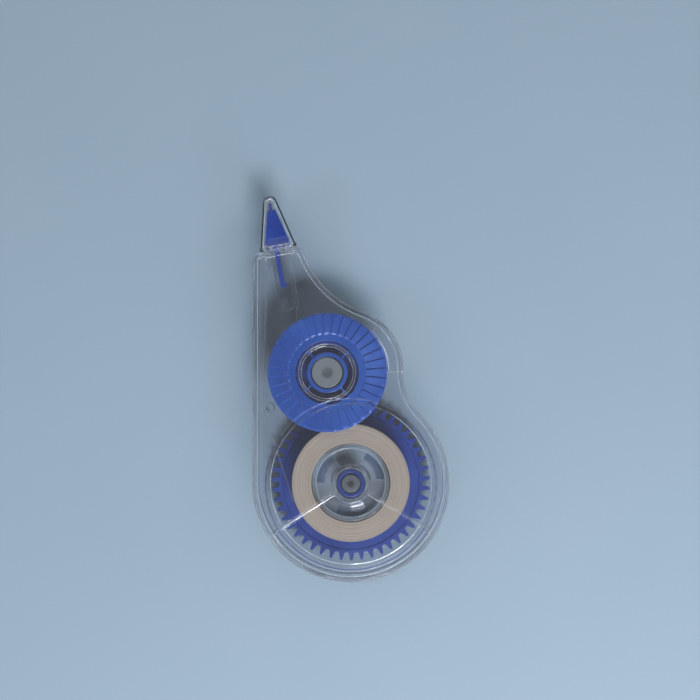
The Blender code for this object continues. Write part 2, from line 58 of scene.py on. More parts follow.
# %% [markdown]
# ## Sizes
# The frame already knows every outside size and every axis, so they are read from it. Only
# the sizes that a box can't tell, such as a wall or a hollow's radius, are written here.

# %% Sizes from the frame, in millimetres
joints = {joint["name"]: joint for joint in frame["joints"]}


def span(node):
    """Low and high corner of a working piece, in millimetres."""
    low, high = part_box(node)
    return np.array(low) / MM, np.array(high) / MM


rear_low = span("rear_shell")[0]
front_high = span("front_shell")[1]
roll_low, roll_high = span("tape_roll")
gear_low, gear_high = span("supply_gear")
disc_low, disc_high = span("take_up_disc")
drum_high = span("take_up_gear")[1]
bush_low, bush_high = span("core_bush")
core_low, core_high = span("supply_core")
clutch_low, clutch_high = span("clutch_ring")
wound_high = span("take_up_film")[1]
head_low, head_high = span("tip_head")
cap_low, cap_high = span("tip_cap")

SUPPLY = np.zeros(2)
TAKE_UP = np.array(joints["take_up_spin"]["pos_m"][:2]) / MM
ALONG = np.array(joints["cap_slide"]["axis"][:2])
ACROSS = np.array([ALONG[1], -ALONG[0]])
tilt = math.degrees(math.atan2(-ALONG[0], ALONG[1]))
middle_z = (roll_low[2] + roll_high[2]) / 2
body_radius = -rear_low[0]
print("reel centres", round(float(np.linalg.norm(TAKE_UP)), 2), "mm apart, nozzle tilt", round(tilt, 1))

# %% Sizes of the mouldings, in millimetres
wall = 1.15
floor = 1.2
gap = 0.3
neck_radius = 15.0
upper_radius = 14.6
upper_offset = np.array([3.84, 1.08])
flank_radius = 24.35
corner_radius = 1.8
plateau_radius = 20.84
plateau_rise = 0.8
plate_top = front_high[2] - plateau_rise
plate_inside = plate_top - floor
lap_half = 0.5
shoulder_width = 11.6
nozzle_inset = 6.3
nozzle_reach = 29.8
NOZZLE = np.array([nozzle_inset - body_radius, TAKE_UP[1] + nozzle_reach])
print("middle of the shoulder", NOZZLE.round(1), "mm, front plate", round(plate_top, 1), "mm up")

# %% [markdown]
# ## Camera and lamps
# The roller lies on its back and is seen from straight above, so the camera looks down.
# A large lamp beyond the round end draws the crescents and the bright steps of the clear
# plastic, and four weaker ones pick out its other edges.

# %% Camera
VIEW_CENTRE = (-0.0002, 0.0325)
VIEW_WIDTH = 0.1722
VIEW_HEIGHT = 0.45
SENSOR = 36.0
camera_data = bpy.data.cameras.new("camera")
camera_data.sensor_width = SENSOR
camera_data.lens = SENSOR * (VIEW_HEIGHT - middle_z * MM) / VIEW_WIDTH
camera_data.clip_start = 0.01
camera = bpy.data.objects.new("camera", camera_data)
camera.location = (*VIEW_CENTRE, VIEW_HEIGHT)
bpy.context.scene.collection.objects.link(camera)
bpy.context.scene.camera = camera
print("camera", VIEW_HEIGHT, "m up, lens", round(camera_data.lens, 1), "mm")

# %% Lamps
LAMP_DISTANCE = 0.60


def lamp(name, angle, height, width, depth, power, colour=(1.0, 1.0, 1.0)):
    """A rectangular soft lamp at a bearing and height in degrees, facing the case."""
    data = bpy.data.lights.new(name, "AREA")
    data.shape = "RECTANGLE"
    data.size = width
    data.size_y = depth
    data.energy = power
    data.color = colour
    lit = bpy.data.objects.new(name, data)
    turn, rise = math.radians(angle), math.radians(height)
    away = np.array([math.cos(turn) * math.cos(rise), math.sin(turn) * math.cos(rise), math.sin(rise)])
    lit.location = away * LAMP_DISTANCE + np.array([*VIEW_CENTRE, 0.0])
    lit.rotation_euler = (math.pi / 2 - rise, 0.0, turn + math.pi / 2)
    bpy.context.scene.collection.objects.link(lit)
    print("lamp", name, power, "W")


lamp("key", 288, 45, 0.28, 0.13, 2.2)
lamp("fill", 108, 40, 0.16, 0.05, 0.35, (0.92, 0.96, 1.0))
lamp("side", 25, 35, 0.16, 0.06, 0.22)
lamp("edge", 205, 30, 0.16, 0.06, 0.22)
lamp("low", 302, 22, 0.30, 0.08, 0.45)

# %% [markdown]
# ## Node sums
# The sky and every finish are formulas, so they should read like formulas. `Wire` holds one
# output of a node and lets it be used in Python sums, `Graph` makes any node in one call,
# and `Paint` adds what a material needs.

# %% Wires and graphs
def operator(operation):
    """The methods of an operator and of its reflected form, each making one Math node."""
    def forward(self, other):
        return self.graph.math(operation, self, other)

    def reflected(self, other):
        return self.graph.math(operation, other, self)

    return forward, reflected


class Wire:
    """One output of a node, usable in sums with numbers and other wires."""

    __add__, __radd__ = operator("ADD")
    __sub__, __rsub__ = operator("SUBTRACT")
    __mul__, __rmul__ = operator("MULTIPLY")
    __truediv__, __rtruediv__ = operator("DIVIDE")
    __pow__, __rpow__ = operator("POWER")

    def __init__(self, graph, socket):
        self.graph = graph
        self.socket = socket

    def between(self, low, high, start=0.0, end=1.0):
        """This value eased from start to end as it goes from low to high."""
        return self.graph.node("ShaderNodeMapRange", {"interpolation_type": "SMOOTHSTEP"},
                               {0: self, 1: low, 2: high, 3: start, 4: end})


class Graph:
    """A node tree being made."""

    def __init__(self, tree):
        self.tree = tree

    def put(self, socket, value):
        """A number, a colour or a wire goes into a socket."""
        if isinstance(value, Wire):
            self.tree.links.new(value.socket, socket)
        else:
            socket.default_value = value

    def node(self, kind, settings=None, values=None, output=0):
        """Any node: its settings first, then the values of its sockets."""
        made = self.tree.nodes.new(kind)
        for key, value in (settings or {}).items():
            setattr(made, key, value)
        for key, value in (values or {}).items():
            self.put(made.inputs[key], value)
        return Wire(self, made.outputs[output])

    def math(self, operation, first, second=0.5):
        """One Math node; the second value counts only where the operation has one."""
        return self.node("ShaderNodeMath", {"operation": operation}, {0: first, 1: second})


# %% Paints
class Paint(Graph):
    """A material being made: its nodes, and the Principled shader that they feed."""

    def __init__(self, name, colour, roughness, constants=None):
        self.material = bpy.data.materials.new(name)
        self.material.use_nodes = True
        super().__init__(self.material.node_tree)
        self.shader = self.tree.nodes["Principled BSDF"]
        self.end = self.tree.nodes["Material Output"]
        self.feed("Base Color", (*colour, 1.0))
        self.feed("Roughness", roughness)
        for socket, value in (constants or {}).items():
            self.feed(socket, value)
        print("finish", name)

    def feed(self, name, value):
        """A value for one of the shader's own sockets."""
        self.put(self.shader.inputs[name], value)

    def place(self):
        """Where a point of the object is, in metres."""
        return self.node("ShaderNodeTexCoord", output="Object")

    def noise(self, scale, detail=3.0, stretch=(1.0, 1.0, 1.0)):
        """Cloudy noise of about 1/scale metres, stretched along the axes."""
        vector = self.node("ShaderNodeMapping", None, {0: self.place(), 3: stretch})
        return self.node("ShaderNodeTexNoise", None, {"Vector": vector, "Scale": scale, "Detail": detail})

    def polar(self, centre):
        """Distance from an upright axis in millimetres, and the bearing round it in radians."""
        moved = self.node("ShaderNodeMapping", None,
                          {0: self.place(), 1: (-centre[0] * MM, -centre[1] * MM, 0.0)})
        split = self.node("ShaderNodeSeparateXYZ", None, {0: moved})
        x, y = (Wire(self, split.socket.node.outputs[axis]) for axis in "XY")
        return (x * x + y * y) ** 0.5 / MM, self.math("ARCTAN2", y, x)

    def grooves(self, distance, per_mm, detail=2.0):
        """Noise that changes only with distance from an axis, like the turns of a roll."""
        return self.node("ShaderNodeTexNoise", {"noise_dimensions": "1D"},
                         {"W": distance * per_mm, "Scale": 1.0, "Detail": detail})

    def mix(self, share, first, second):
        """One colour turning into another."""
        return self.node("ShaderNodeMix", {"data_type": "RGBA"},
                         {0: share, 6: (*first, 1.0), 7: (*second, 1.0)}, 2)

    def relief(self, height, strength, depth_mm):
        """Fine relief from a height between 0 and 1."""
        self.feed("Normal", self.node("ShaderNodeBump", None, {
            "Height": height, "Strength": strength, "Distance": depth_mm * MM}))


# %% [markdown]
# ## Sky
# The sky is bright near the horizon, softer above and dark straight overhead. Walls and
# rounded edges bend the view sideways, so they pick up that light and shine, while the flat
# plates, seen from above, mirror only the dark patch and stay clear. Rays that were bent or
# mirrored see a brighter sky than the floor does, like cards held beside glassware in a studio.
# Light crosses many walls, so the bounce limits are raised. Caustics are off, because shadow
# rays already carry the lamps' light through the plastic.

# %% Sky
HORIZON, MIDDLE, OVERHEAD = 0.37, 0.18, 0.013
CARDS = 6.0
world = bpy.data.worlds.new("sky")
world.use_nodes = True
bpy.context.scene.world = world
sky = Graph(world.node_tree)
height = sky.node("ShaderNodeSeparateXYZ", None, {0: sky.node("ShaderNodeTexCoord")}, "Z")
strength = height.between(0.88, 0.97, height.between(0.0, 0.35, HORIZON, MIDDLE), OVERHEAD)
mirrored = sky.node("ShaderNodeLightPath", output="Is Glossy Ray")
bent = sky.node("ShaderNodeLightPath", output="Is Transmission Ray")
brighter = sky.math("MAXIMUM", mirrored, bent) * (CARDS - 1.0) + 1.0
background = world.node_tree.nodes["Background"]
sky.put(background.inputs["Strength"], brighter * strength)
sky.put(background.inputs["Color"], (0.86, 0.90, 0.96, 1.0))
print("sky from", OVERHEAD, "overhead to", HORIZON, "at the horizon")

# %% Light paths
bpy.context.scene.view_settings.view_transform = "Standard"
light_paths = bpy.context.scene.cycles
light_paths.transparent_max_bounces = 40
light_paths.transmission_bounces = 20
light_paths.max_bounces = 20
light_paths.caustics_refractive = False
light_paths.caustics_reflective = False
print("light follows up to", light_paths.max_bounces, "bounces")

# %% [markdown]
# ## Surface tools
# Most mouldings here are one of four kinds: a profile turned round an axis, a flat outline
# with softened edges, the case's own outline drawn in by an inset, or a tapered sleeve. Each
# is a pile of loops, so one function can turn it into a mesh.

# %% From loops of points to a mesh
def skin(name, rows, ends=True):
    """Mesh of closed loops in millimetres, each given as (flat points, height or heights).

    Loop k is joined to loop k + 1. With ends the first and last loops are filled, and
    without them the last loop is joined to the first, as on a ring. A negative volume, the
    sum of a third of each face's area times its distance along its normal, flips the faces.
    """
    rows = np.array([np.column_stack([loop, np.full(len(loop), z)]) for loop, z in rows])
    count, around = rows.shape[:2]
    index = np.arange(count * around).reshape(count, around)
    upper = index[1:] if ends else np.roll(index, -1, 0)
    lower = index[:-1] if ends else index
    quads = np.stack([lower, np.roll(lower, -1, 1), np.roll(upper, -1, 1), upper], -1).reshape(-1, 4)
    faces = quads.tolist()
    if ends:
        faces += [index[0][::-1].tolist(), index[-1].tolist()]
    mesh = bpy.data.meshes.new(name)
    mesh.from_pydata((rows.reshape(-1, 3) * MM).tolist(), [], faces)
    corners = rows.reshape(-1, 3)[quads]
    normals = np.cross(corners[:, 2] - corners[:, 0], corners[:, 3] - corners[:, 1])
    volume = (corners.mean(1) * normals).sum() / 6
    if ends:
        volume += sum(sign * row[0, 2] * area_of(row) for sign, row in ((-1, rows[0]), (1, rows[-1])))
    if volume < 0:
        mesh.flip_normals()
    piece = bpy.data.objects.new(name, mesh)
    bpy.context.scene.collection.objects.link(piece)
    return piece


def area_of(loop):
    """Signed area of a flat loop seen from above."""
    x, y = loop[:, 0], loop[:, 1]
    return 0.5 * float(np.sum(x * np.roll(y, -1) - y * np.roll(x, -1)))


def smooth(piece, angle=28.0):
    """Smooth shading with creases where faces meet at more than an angle.

    Faces that lie quite level stay flat, because a wide plate lit by the averaged normals
    of its rim would act as a lens.
    """
    mesh = piece.data
    mesh.shade_smooth()
    mesh.set_sharp_from_angle(angle=math.radians(angle))
    normals = np.empty(3 * len(mesh.polygons), np.float32)
    mesh.polygons.foreach_get("normal", normals)
    mesh.polygons.foreach_set("use_smooth", np.abs(normals[2::3]) < 0.99999)
    mesh.update()
    print(piece.name, len(mesh.polygons), "faces")
    return piece


# %% Rounded corners and flat outlines
def toward(angles):
    """Unit vector at each angle in radians: (cos, sin)."""
    return np.stack([np.cos(angles), np.sin(angles)], -1)


def rounded(corners, steps=5, closed=True):
    """Points of a path whose corners (x, y, radius) are each replaced by an arc.

    The arc touches both sides at radius / tan(half the corner's angle) from the corner.
    """
    corners = [tuple(corner) + (0.0,) * (3 - len(corner)) for corner in corners]
    points = []
    for i, (x, y, radius) in enumerate(corners):
        here = np.array([x, y])
        if radius <= 0 or (not closed and i in (0, len(corners) - 1)):
            points.append(here)
            continue
        before = np.array(corners[i - 1][:2]) - here
        after = np.array(corners[(i + 1) % len(corners)][:2]) - here
        longest = 0.48 * min(np.linalg.norm(before), np.linalg.norm(after))
        before, after = before / np.linalg.norm(before), after / np.linalg.norm(after)
        half = 0.5 * math.acos(float(np.clip(before @ after, -1, 1)))
        reach = min(radius / math.tan(half), longest)
        middle = here + (before + after) / np.linalg.norm(before + after) * reach / math.cos(half)
        radius = reach * math.tan(half)
        start = here + before * reach - middle
        end = here + after * reach - middle
        turn = math.atan2(start[0] * end[1] - start[1] * end[0], float(start @ end))
        angles = math.atan2(start[1], start[0]) + turn * np.linspace(0, 1, steps)
        points += list(middle + radius * toward(angles))
    return np.array(points)


def circle(radius, sides=96, centre=SUPPLY):
    """Points of a circle, evenly spaced."""
    return centre + radius * toward(np.linspace(0, 2 * np.pi, sides, endpoint=False))


def drawn_in(outline, inset):
    """An outline moved inwards: each point goes along the mean of its two sides' normals."""
    ahead = np.roll(outline, -1, 0) - outline
    ahead /= np.linalg.norm(ahead, axis=1, keepdims=True)
    behind = np.roll(ahead, 1, 0)
    mean = ahead + behind
    mean /= np.linalg.norm(mean, axis=1, keepdims=True)
    inward = np.stack([-mean[:, 1], mean[:, 0]], -1)
    return outline + inward * inset / np.maximum((mean * ahead).sum(1, keepdims=True), 0.5)


def edge_profile(low, high, edge, support=0.03, steps=5):
    """(inset, z) of a slab's side, with quarter-round edges and a flat rim on each face."""
    corners = [(edge + support, low), (0.0, low, edge), (0.0, high, edge), (edge + support, high)]
    return rounded(corners, steps, closed=False)


def slab(name, outline, low, high, edge=0.12):
    """A flat piece with softened edges: each row is its outline drawn in by the row's inset."""
    return skin(name, [(drawn_in(outline, inset), z) for inset, z in edge_profile(low, high, edge)])


def turned(name, corners, sides=96, centre=SUPPLY, ends=False, steps=5):
    """A profile of (radius, z, rounding) corners turned round an upright axis."""
    profile = rounded(corners, steps, closed=not ends)
    return skin(name, [(circle(radius, sides, centre), z) for radius, z in profile], ends)


def tube(name, inner, outer, low, high, centre=SUPPLY, edge=0.12, sides=96):
    """A ring with softened edges: a rounded rectangle turned round an upright axis."""
    return turned(name, [(inner, low, edge), (outer, low, edge), (outer, high, edge), (inner, high, edge)],
                  sides, centre)


def radial_slab(name, angle, inner, outer, width, low, high, centre, edge=0.1):
    """A straight bar pointing away from an upright axis."""
    out = toward(math.radians(angle))
    aside = np.array([-out[1], out[0]])
    corners = [centre + out * r + aside * s for r, s in
               ((inner, -width / 2), (outer, -width / 2), (outer, width / 2), (inner, width / 2))]
    return slab(name, np.array(corners), low, high, edge)


# %% [markdown]
# Where two shapes are one moulding, they are fused or cut with exact Booleans, and the result
# is kept as the piece's own mesh. That leaves no hidden walls inside clear plastic, where
# they would show.

# %% Fusing and cutting
def reshape(body, tools, operation):
    """Fuse tools to a body or cut them out, and keep the result."""
    for tool in tools:
        step = body.modifiers.new(tool.name, "BOOLEAN")
        step.operation = operation
        step.solver = "EXACT"
        step.object = tool
    graph = bpy.context.evaluated_depsgraph_get()
    mesh = bpy.data.meshes.new_from_object(body.evaluated_get(graph))
    mesh.name = body.name
    body.modifiers.clear()
    body.data = mesh
    for tool in tools:
        bpy.data.objects.remove(tool)
    return body


def fuse(body, *tools):
    """The body and its tools as one solid."""
    return reshape(body, tools, "UNION")


def cut(body, *tools):
    """The body without its tools."""
    return reshape(body, tools, "DIFFERENCE")


# %% [markdown]
# ## The case's outline
# Seen from the front the case is six tangent arcs and a straight back: round the supply
# reel, in at the waist, round the take-up reel, in under the shoulder and over two small
# corners. Moving every arc's radius by the same inset gives any line parallel to it.

# %% The case's outline
def bearing(start, end):
    """Direction from one point to another, in degrees."""
    return math.degrees(math.atan2(end[1] - start[1], end[0] - start[0]))


def meeting(first, first_radius, second, second_radius):
    """Where two circles cross, on the right of the line between their centres."""
    apart = second - first
    distance = np.linalg.norm(apart)
    reach = (first_radius ** 2 - second_radius ** 2 + distance ** 2) / (2 * distance)
    height = math.sqrt(first_radius ** 2 - reach ** 2)
    unit = apart / distance
    return first + unit * reach + np.array([unit[1], -unit[0]]) * height


def arc(centre, radius, start, end, step=2.0):
    """Points of an arc, both ends included."""
    angles = np.radians(np.linspace(start, end, max(3, round(abs(end - start) / step) + 1)))
    return np.array(centre) + radius * toward(angles)


def from_nozzle(u, v):
    """Point u across and v along the nozzle, or a column of each, from the shoulder's middle."""
    return NOZZLE + u * ACROSS + v * ALONG


def case_arcs():
    """Centre, radius, start, end and sense (+1 round, -1 hollow) of each arc."""
    upper = TAKE_UP + upper_offset
    neck = meeting(SUPPLY, body_radius + neck_radius, upper, upper_radius + neck_radius)
    right = from_nozzle(shoulder_width / 2 - corner_radius, -corner_radius)
    left_x = corner_radius - body_radius
    left = np.array([left_x, right[1] + (left_x - right[0]) / ACROSS[0] * ACROSS[1]])
    flank = meeting(upper, upper_radius + flank_radius, right, flank_radius + corner_radius)
    return [
        (SUPPLY, body_radius, 180.0, 360.0 + bearing(SUPPLY, neck), 1),
        (neck, neck_radius, 180.0 + bearing(SUPPLY, neck), bearing(neck, upper), -1),
        (upper, upper_radius, bearing(neck, upper) - 180.0, bearing(upper, flank), 1),
        (flank, flank_radius, 180.0 + bearing(upper, flank), 360.0 + bearing(flank, right), -1),
        (right, corner_radius, bearing(right, flank), 90.0 + tilt, 1),
        (left, corner_radius, 90.0 + tilt, 180.0, 1),
    ]


def case_outline(inset):
    """The outline moved inwards by an inset, with as many points at any inset."""
    return np.vstack([arc(centre, radius - sense * inset, start, end, 2.0 if radius > 3 else 10.0)
                      for centre, radius, start, end, sense in case_arcs()])


def case_shell(name, profile):
    """A profile of (inset, z) points carried round the case's outline."""
    return skin(name, [(case_outline(inset), z) for inset, z in profile])


print("case outline", len(case_outline(0.0)), "points")

# %% [markdown]
# ## Rear half of the case
# The rear half is a tray with a stepped rim that the front half drops over. On its floor
# stand two axle posts, a guide post tied to the straight wall, and the U-shaped cradle that
# holds the tip's stem. They are one moulding, so they are fused.

# %% Rear half
lap_low = middle_z - lap_half
lap_high = middle_z + lap_half
half_wall = (wall - gap) / 2
post_top = plate_inside - 0.5
socket_radius = 1.2
socket_bore = 0.65
SOCKETS = {"guide": np.array([3.95 - body_radius, 18.3]), "cradle": from_nozzle(-0.28, -12.83)}
POSTS = {"supply": (SUPPLY, 2.2, 1.0), "take_up": (TAKE_UP, 3.7, 1.5)}
CRADLE = (-0.5, -12.4)
cradle_half = 2.5
cradle_wall = 0.9
cradle_right_top = -6.3
cradle_left_top = -3.4
WINDOW = (-3.5, 3.0, -2 * wall, wall)
TAB = (-2.6, 2.6, -wall / 2, 3.0)
tab_height = 0.5


def cradle_outline():
    """Outline of the U: down the left arm, round the outside, up the right arm and back inside."""
    u, v = CRADLE
    end = cradle_wall / 2
    local = np.vstack([
        arc((u, v), cradle_half, 180, 360, 10),
        arc((u + cradle_half - end, cradle_right_top), end, 0, 180, 20),
        arc((u, v), cradle_half - cradle_wall, 360, 180, 10),
        arc((u - cradle_half + end, cradle_left_top), end, 0, 180, 20),
    ])
    return from_nozzle(local[:, :1], local[:, 1:])


def nozzle_slab(name, left, right, bottom, top, low, high, edge=0.1):
    """A block square to the nozzle; its corners are rounder than its edges, so no loop folds."""
    soft = 2 * edge
    local = rounded([(left, bottom, soft), (right, bottom, soft), (right, top, soft), (left, top, soft)])
    return slab(name, from_nozzle(local[:, :1], local[:, 1:]), low, high, edge)


def make_rear_shell():
    """A stepped (inset, z) profile carried round the outline, with its fittings fused on."""
    profile = rounded([(0.9, 0.0), (0.0, 0.0, 0.55), (0.0, lap_high, 0.1), (half_wall, lap_high, 0.1),
                       (half_wall, lap_low), (wall, lap_low, 0.1), (wall, floor, 0.3),
                       (wall + 0.5, floor)], closed=False)
    shell = case_shell("rear_case", profile)
    tools = [tube(name, bore, radius, floor - gap, post_top, centre, edge=0.25)
             for name, (centre, radius, bore) in POSTS.items()]
    tools += [tube(name, socket_bore, socket_radius, floor - gap, post_top, centre, 0.15, 40)
              for name, centre in SOCKETS.items()]
    tools.append(slab("cradle", cradle_outline(), floor - gap, post_top, 0.12))
    x, y = SOCKETS["guide"]
    left, right = wall / 2 - body_radius, x - 1.0
    rib = np.array([(left, y - 0.3), (right, y - 0.3), (right, y + 0.3), (left, y + 0.3)])
    tools.append(slab("rib", rib, floor - gap, floor + 2.4, 0.1))
    fuse(shell, *tools)
    low = head_low[2] - gap
    cut(shell, nozzle_slab("window", *WINDOW, low + gap, plate_top, 0.0))
    return fuse(shell, nozzle_slab("tab", *TAB, low - tab_height, low))


rear_case = smooth(make_rear_shell())

# %% [markdown]
# ## Front half of the case
# The front half carries the round raised plateau over the tape, with a sector of it stepped
# down between two radial edges, a small step beside the take-up reel, and two ring walls
# that look like thin silver circles. The steps have sloped sides, because a sloped side
# catches the light and an upright one doesn't.

# %% Front half
STEP = (212.0, 330.0)
SMALL_STEP = (0.0, 45.0)
step_depth = 0.35
hub_edge = 4.9
groove = 0.22
beyond = 40.0


def sector_loop(centre, inner, outer, start, end, inset, points=60):
    """Outline of a sector moved inwards: a side moved by d turns by asin(d / r) at radius r."""
    def bow(radius):
        shift = math.degrees(math.asin(inset / radius))
        return centre + radius * toward(np.radians(np.linspace(start + shift, end - shift, points)))

    return np.vstack([bow(outer - inset), bow(inner + inset)[::-1]])


def sector_cutter(name, centre, inner, outer, start, end, low, high):
    """A sector cut with a steep side and a narrow groove at its foot, which draws a double line."""
    profile = [(0.85, low), (0.7, low), (0.52, low - groove), (0.40, low - groove),
               (0.12, high - 0.08), (0.02, high), (0.0, high + 0.6)]
    return skin(name, [(sector_loop(centre, inner, outer, start, end, inset), z) for inset, z in profile])


def make_front_shell():
    """The plate and its rim carried round the outline, with plateau, steps and fittings."""
    profile = rounded([(0.9, plate_top), (0.0, plate_top, 0.55), (0.0, lap_high + gap, 0.1),
                       (wall - half_wall, lap_high + gap), (wall - half_wall, lap_low + gap, 0.08),
                       (wall, lap_low + gap, 0.08), (wall, plate_inside, 0.3),
                       (wall + 0.5, plate_inside)], closed=False)
    shell = case_shell("front_case", profile)
    top = front_high[2]
    fuse(shell, turned("plateau", [(plateau_radius, plate_inside + floor / 2), (plateau_radius, top, 0.5),
                                   (plateau_radius - 0.8, top)], 160, ends=True))
    inside = plate_inside + plateau_rise
    cut(shell, turned("recess", [(plateau_radius - floor, plate_inside - gap),
                                 (plateau_radius - floor, inside, 0.3),
                                 (plateau_radius - floor - 0.5, inside)], 160, ends=True))
    cut(shell, sector_cutter("lower", SUPPLY, hub_edge - 0.3, beyond, *STEP, top - step_depth, top),
        sector_cutter("upper", TAKE_UP, 14.4, 24.0, *SMALL_STEP, plate_top - step_depth, plate_top))
    cut(shell, sector_cutter("edge", SUPPLY, plateau_radius - 0.2, beyond, *STEP,
                             plate_top - step_depth, plate_top))
    tools = []
    for name, (centre, radius, bore) in POSTS.items():
        ceiling = inside if name == "supply" else plate_inside
        tools.append(turned(name, [(bore - gap - 0.2, middle_z), (bore - gap, middle_z, 0.2),
                                   (bore - gap, ceiling + 0.5)], 40, centre, ends=True))
    for name, centre in SOCKETS.items():
        tools.append(turned(name, [(0.2, middle_z), (socket_bore - gap, middle_z, 0.1),
                                   (socket_bore - gap, plate_inside + 0.5)], 24, centre, ends=True))
    tools.append(tube("supply_ring", 3.7, 4.45, roll_high[2] + gap, inside + 0.5, SUPPLY, 0.33))
    tools.append(tube("take_up_ring", 6.25, 7.0, disc_low[2] + 0.8, plate_inside + 0.5, TAKE_UP, 0.33))
    rim = body_radius - wall - gap
    tools += [radial_slab("step_rib", angle, hub_edge, rim, 0.7, inside - 0.9, inside + 0.4, SUPPLY, 0.33)
              for angle in STEP]
    fuse(shell, *tools)
    high = head_high[2] + gap
    cut(shell, nozzle_slab("window", *WINDOW, 0.0, high - gap, 0.0))
    return fuse(shell, nozzle_slab("tab", *TAB, high, high + tab_height))


front_case = smooth(make_front_shell())

# %% [markdown]
# ## Cap
# The cap is a tapered sleeve, square to the nozzle, with a bead round its mouth and a rounded
# crown. Each row is a rounded rectangle, so the inside and the outside are one surface.

# %% Cap
cap_seat = 0.35
cap_top = cap_seat + 13.05
bead_top = cap_seat + 0.95
cap_wall = 0.63
cap_half = 4.25
crown_half = 1.4
bead = 0.35
cap_base = (cap_half, (cap_high[2] - cap_low[2]) / 2 - bead)
cap_slope = ((cap_half - crown_half) / (cap_top - bead_top), 0.075)


def cap_row(inset, v, corner=1.3):
    """Rounded rectangle across the nozzle at height v along it, drawn in by an inset."""
    half = [cap_base[k] - cap_slope[k] * max(v - bead_top, 0.0) - inset for k in (0, 1)]
    corner = min(max(corner - inset, 0.3), 0.9 * half[0])
    corners = [(half[0], half[1], corner), (-half[0], half[1], corner),
               (-half[0], -half[1], corner), (half[0], -half[1], corner)]
    flat = rounded(corners, 9)
    return from_nozzle(flat[:, :1], v), middle_z + flat[:, 1]


def crown(peak, inset, height=1.1):
    """(inset, v) of the rounded top: a quarter ellipse that closes in as it rises."""
    turn = np.radians(np.linspace(0, 84, 8))
    return [(inset + 0.75 * height * (1 - math.cos(t)), peak - height * (1 - math.sin(t))) for t in turn]


inside_rows = crown(cap_top - cap_wall, cap_wall)[::-1]
mouth_rows = [(cap_wall, bead_top), (cap_wall, cap_seat + 0.15), (cap_wall - 0.05, cap_seat + 0.03),
              (cap_wall - 0.15, cap_seat)]
mouth_rows += [(-bead * math.sin(t), (cap_seat + bead_top - (bead_top - cap_seat) * math.cos(t)) / 2)
               for t in np.radians(np.linspace(0, 180, 13))]
cap_rows = inside_rows + mouth_rows + crown(cap_top, 0.0)
cap = smooth(skin("clear_cap", [cap_row(inset, v) for inset, v in cap_rows]), 40)

# %% [markdown]
# ## Tip
# A thin wedge presses the tape onto the paper with its nib. Two side plates keep the tape on
# it, and a stem with a hooked foot drops into the cradle. The nib's rounding is what the
# tape turns over.

# %% Tip
blade_half = 0.53
lean = -0.6
nib_top = 11.6
foot_end = 0.63
plate_wall = 0.6
blade = rounded([(lean - blade_half, -9.0, 0.2), (foot_end, -9.0, 0.2), (foot_end, -8.2, 0.2),
                 (lean + blade_half, -8.2, 0.25), (lean + blade_half, 1.2, 0.4),
                 (0.25, nib_top, 0.24), (-0.25, nib_top, 0.24), (lean - blade_half, 1.2, 0.4)], 6)
plate = rounded([(-3.1, 1.7, 0.35), (3.1, 1.7, 0.35), (1.0, 10.0, 0.55), (-1.0, 10.0, 0.55)], 7)
blade = from_nozzle(blade[:, :1], blade[:, 1:])
plate = from_nozzle(plate[:, :1], plate[:, 1:])
tip = slab("blue_tip", blade, head_low[2] + 0.3, head_high[2] - 0.3, 0.1)
fuse(tip, slab("rear_plate", plate, head_low[2], head_low[2] + plate_wall, 0.2),
     slab("front_plate", plate, head_high[2] - plate_wall, head_high[2], 0.2))
smooth(tip, 35)

# %% [markdown]
# ## Gear teeth
# Both gears share one tooth: a trapezium with soft corners, repeated round the pitch circle.
# One tooth at the bearing of the other reel and one gap on the pinion put them in mesh.

# %% Gears
module = 0.8
root_depth = 1.1
SUPPLY_TEETH = 47
TAKE_UP_TEETH = 22
mesh_bearing = bearing(SUPPLY, TAKE_UP)


def gear_outline(teeth, phase):
    """Outline of a gear about the origin: one rounded tooth, turned to each place at once."""
    root, tip_radius = module * teeth / 2 - root_depth, module * teeth / 2 + module
    a, b = math.degrees(0.75 / root), math.degrees(0.25 / tip_radius)
    pitch = 360.0 / teeth

    def polar(radius, angle):
        return radius * math.cos(math.radians(angle)), radius * math.sin(math.radians(angle))

    corners = [(*polar(root, -pitch + a), 0.12)]
    corners += [(*polar(r, t), rounding) for r, t, rounding in
                ((root, -a, 0.2), (tip_radius, -b, 0.13), (tip_radius, b, 0.13), (root, a, 0.2),
                 (root, pitch - a, 0.12))]
    tooth = rounded(corners, 4, closed=False)[1:-1]
    turns = np.radians(phase + pitch * np.arange(teeth))[:, None]
    x = tooth[:, 0] * np.cos(turns) - tooth[:, 1] * np.sin(turns)
    y = tooth[:, 0] * np.sin(turns) + tooth[:, 1] * np.cos(turns)
    return np.stack([x, y], -1).reshape(-1, 2)


def toothed_ring(name, outline, centre, low, high, face, bore, bore_edge=0.15):
    """A gear: teeth outside, a round bore, and on both faces the rings of (radius, depth)."""
    around = toward(np.arctan2(outline[:, 1], outline[:, 0]))
    side = [(drawn_in(outline, inset), z) for inset, z in edge_profile(low, high, 0.1, 0.02)]
    top = [(around * radius, high - depth) for radius, depth in face]
    inner = rounded([(face[-1][0], high - face[-1][1]), (bore, high - face[-1][1], bore_edge),
                     (bore, low + face[-1][1], bore_edge), (face[-1][0], low + face[-1][1])], 4, closed=False)
    bottom = [(around * radius, low + depth) for radius, depth in reversed(face)]
    rows = side + top + [(around * r, z) for r, z in inner[1:-1]] + bottom
    return skin(name, [(centre + loop, z) for loop, z in rows], ends=False)


gear_bore = clutch_high[0] + gap
supply_gear = smooth(toothed_ring(
    "blue_supply_gear", gear_outline(SUPPLY_TEETH, mesh_bearing), SUPPLY, gear_low[2], gear_high[2],
    [(17.35, 0.0), (16.95, 0.0), (16.75, 0.22), (12.2, 0.22), (12.0, 0.0)], gear_bore))
print("teeth", SUPPLY_TEETH, "and", TAKE_UP_TEETH)

